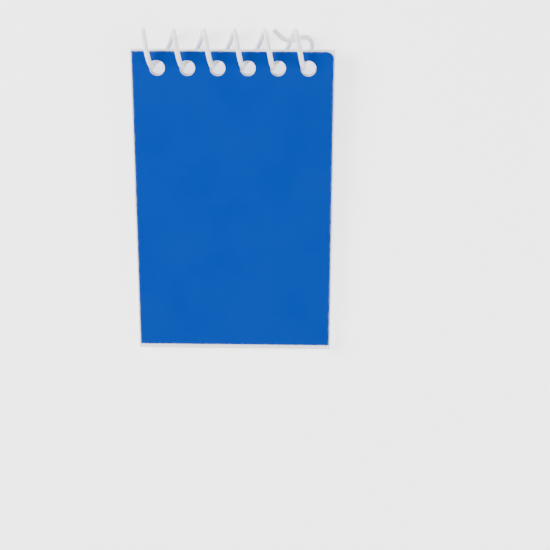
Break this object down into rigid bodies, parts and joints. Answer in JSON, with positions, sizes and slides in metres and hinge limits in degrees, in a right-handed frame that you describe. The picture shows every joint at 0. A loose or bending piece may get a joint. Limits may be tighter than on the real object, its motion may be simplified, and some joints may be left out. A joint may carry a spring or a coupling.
{
  "type": "pocket notebook",
  "caption": "Small top-bound pad: loose paper sheets between two plain card covers, held by one plastic coil with a bent end.",
  "frame": {"origin": "centre of the pad's footprint, at the height of the coil's lowest point", "axes": "+X across the pad to the right, +Y along it from its foot to its coil, +Z out of its front cover"},
  "size_m": [0.0572, 0.0948, 0.0118],
  "materials": {
    "front_card": "satin coated card",
    "back_card": "satin coated card",
    "sheet_paper": "uncoated, matte",
    "coil_plastic": "semi-gloss"
  },
  "bodies": {
    "pad_block": {"back_cover": "back_card", "sheet_16": "sheet_paper", "sheet_17": "sheet_paper", "sheet_18": "sheet_paper", "sheet_19": "sheet_paper", "sheet_20": "sheet_paper", "sheet_21": "sheet_paper", "sheet_22": "sheet_paper", "sheet_23": "sheet_paper", "sheet_24": "sheet_paper", "sheet_25": "sheet_paper", "sheet_26": "sheet_paper", "sheet_27": "sheet_paper", "sheet_28": "sheet_paper", "sheet_29": "sheet_paper", "sheet_30": "sheet_paper"},
    "coil": {"coil": "coil_plastic"},
    "front_cover": {"front_cover": "front_card"},
    "sheet_01": {"sheet_01": "sheet_paper"},
    "sheet_02": {"sheet_02": "sheet_paper"},
    "sheet_03": {"sheet_03": "sheet_paper"},
    "sheet_04": {"sheet_04": "sheet_paper"},
    "sheet_05": {"sheet_05": "sheet_paper"},
    "sheet_06": {"sheet_06": "sheet_paper"},
    "sheet_07": {"sheet_07": "sheet_paper"},
    "sheet_08": {"sheet_08": "sheet_paper"},
    "sheet_09": {"sheet_09": "sheet_paper"},
    "sheet_10": {"sheet_10": "sheet_paper"},
    "sheet_11": {"sheet_11": "sheet_paper"},
    "sheet_12": {"sheet_12": "sheet_paper"},
    "sheet_13": {"sheet_13": "sheet_paper"},
    "sheet_14": {"sheet_14": "sheet_paper"},
    "sheet_15": {"sheet_15": "sheet_paper"}
  },
  "joints": [
    {"name": "cover_turn", "type": "hinge", "parent": "pad_block", "child": "front_cover", "pos_m": [0, 0.04156, 0.00588], "axis": [-1, 0, 0], "range_deg": [0, 180]},
    {"name": "coil_shift", "type": "slide", "parent": "pad_block", "child": "coil", "axis": [1, 0, 0], "range_m": [0, 0.00283]},
    {"name": "sheet_01_turn", "type": "hinge", "parent": "pad_block", "child": "sheet_01", "pos_m": [0, 0.04156, 0.00588], "axis": [-1, 0, 0], "range_deg": [0, 177.31]},
    {"name": "sheet_02_turn", "type": "hinge", "parent": "pad_block", "child": "sheet_02", "pos_m": [0, 0.04156, 0.00588], "axis": [-1, 0, 0], "range_deg": [0, 176.23]},
    {"name": "sheet_03_turn", "type": "hinge", "parent": "pad_block", "child": "sheet_03", "pos_m": [0, 0.04156, 0.00588], "axis": [-1, 0, 0], "range_deg": [0, 175.15]},
    {"name": "sheet_04_turn", "type": "hinge", "parent": "pad_block", "child": "sheet_04", "pos_m": [0, 0.04156, 0.00588], "axis": [-1, 0, 0], "range_deg": [0, 174.07]},
    {"name": "sheet_05_turn", "type": "hinge", "parent": "pad_block", "child": "sheet_05", "pos_m": [0, 0.04156, 0.00588], "axis": [-1, 0, 0], "range_deg": [0, 172.99]},
    {"name": "sheet_06_turn", "type": "hinge", "parent": "pad_block", "child": "sheet_06", "pos_m": [0, 0.04156, 0.00588], "axis": [-1, 0, 0], "range_deg": [0, 171.91]},
    {"name": "sheet_07_turn", "type": "hinge", "parent": "pad_block", "child": "sheet_07", "pos_m": [0, 0.04156, 0.00588], "axis": [-1, 0, 0], "range_deg": [0, 170.83]},
    {"name": "sheet_08_turn", "type": "hinge", "parent": "pad_block", "child": "sheet_08", "pos_m": [0, 0.04156, 0.00588], "axis": [-1, 0, 0], "range_deg": [0, 169.75]},
    {"name": "sheet_09_turn", "type": "hinge", "parent": "pad_block", "child": "sheet_09", "pos_m": [0, 0.04156, 0.00588], "axis": [-1, 0, 0], "range_deg": [0, 168.67]},
    {"name": "sheet_10_turn", "type": "hinge", "parent": "pad_block", "child": "sheet_10", "pos_m": [0, 0.04156, 0.00588], "axis": [-1, 0, 0], "range_deg": [0, 167.59]},
    {"name": "sheet_11_turn", "type": "hinge", "parent": "pad_block", "child": "sheet_11", "pos_m": [0, 0.04156, 0.00588], "axis": [-1, 0, 0], "range_deg": [0, 166.51]},
    {"name": "sheet_12_turn", "type": "hinge", "parent": "pad_block", "child": "sheet_12", "pos_m": [0, 0.04156, 0.00588], "axis": [-1, 0, 0], "range_deg": [0, 165.43]},
    {"name": "sheet_13_turn", "type": "hinge", "parent": "pad_block", "child": "sheet_13", "pos_m": [0, 0.04156, 0.00588], "axis": [-1, 0, 0], "range_deg": [0, 164.35]},
    {"name": "sheet_14_turn", "type": "hinge", "parent": "pad_block", "child": "sheet_14", "pos_m": [0, 0.04156, 0.00588], "axis": [-1, 0, 0], "range_deg": [0, 163.27]},
    {"name": "sheet_15_turn", "type": "hinge", "parent": "pad_block", "child": "sheet_15", "pos_m": [0, 0.04156, 0.00588], "axis": [-1, 0, 0], "range_deg": [0, 162.19]}
  ],
  "couplings": [
    {"joint": "coil_shift", "follows": "cover_turn", "m_per_rad": 0.00089763},
    {"joint": "sheet_01_turn", "follows": "cover_turn", "ratio": 0.985},
    {"joint": "sheet_02_turn", "follows": "cover_turn", "ratio": 0.979},
    {"joint": "sheet_03_turn", "follows": "cover_turn", "ratio": 0.973},
    {"joint": "sheet_04_turn", "follows": "cover_turn", "ratio": 0.967},
    {"joint": "sheet_05_turn", "follows": "cover_turn", "ratio": 0.961},
    {"joint": "sheet_06_turn", "follows": "cover_turn", "ratio": 0.955},
    {"joint": "sheet_07_turn", "follows": "cover_turn", "ratio": 0.949},
    {"joint": "sheet_08_turn", "follows": "cover_turn", "ratio": 0.943},
    {"joint": "sheet_09_turn", "follows": "cover_turn", "ratio": 0.937},
    {"joint": "sheet_10_turn", "follows": "cover_turn", "ratio": 0.931},
    {"joint": "sheet_11_turn", "follows": "cover_turn", "ratio": 0.925},
    {"joint": "sheet_12_turn", "follows": "cover_turn", "ratio": 0.919},
    {"joint": "sheet_13_turn", "follows": "cover_turn", "ratio": 0.913},
    {"joint": "sheet_14_turn", "follows": "cover_turn", "ratio": 0.907},
    {"joint": "sheet_15_turn", "follows": "cover_turn", "ratio": 0.901}
  ]
}
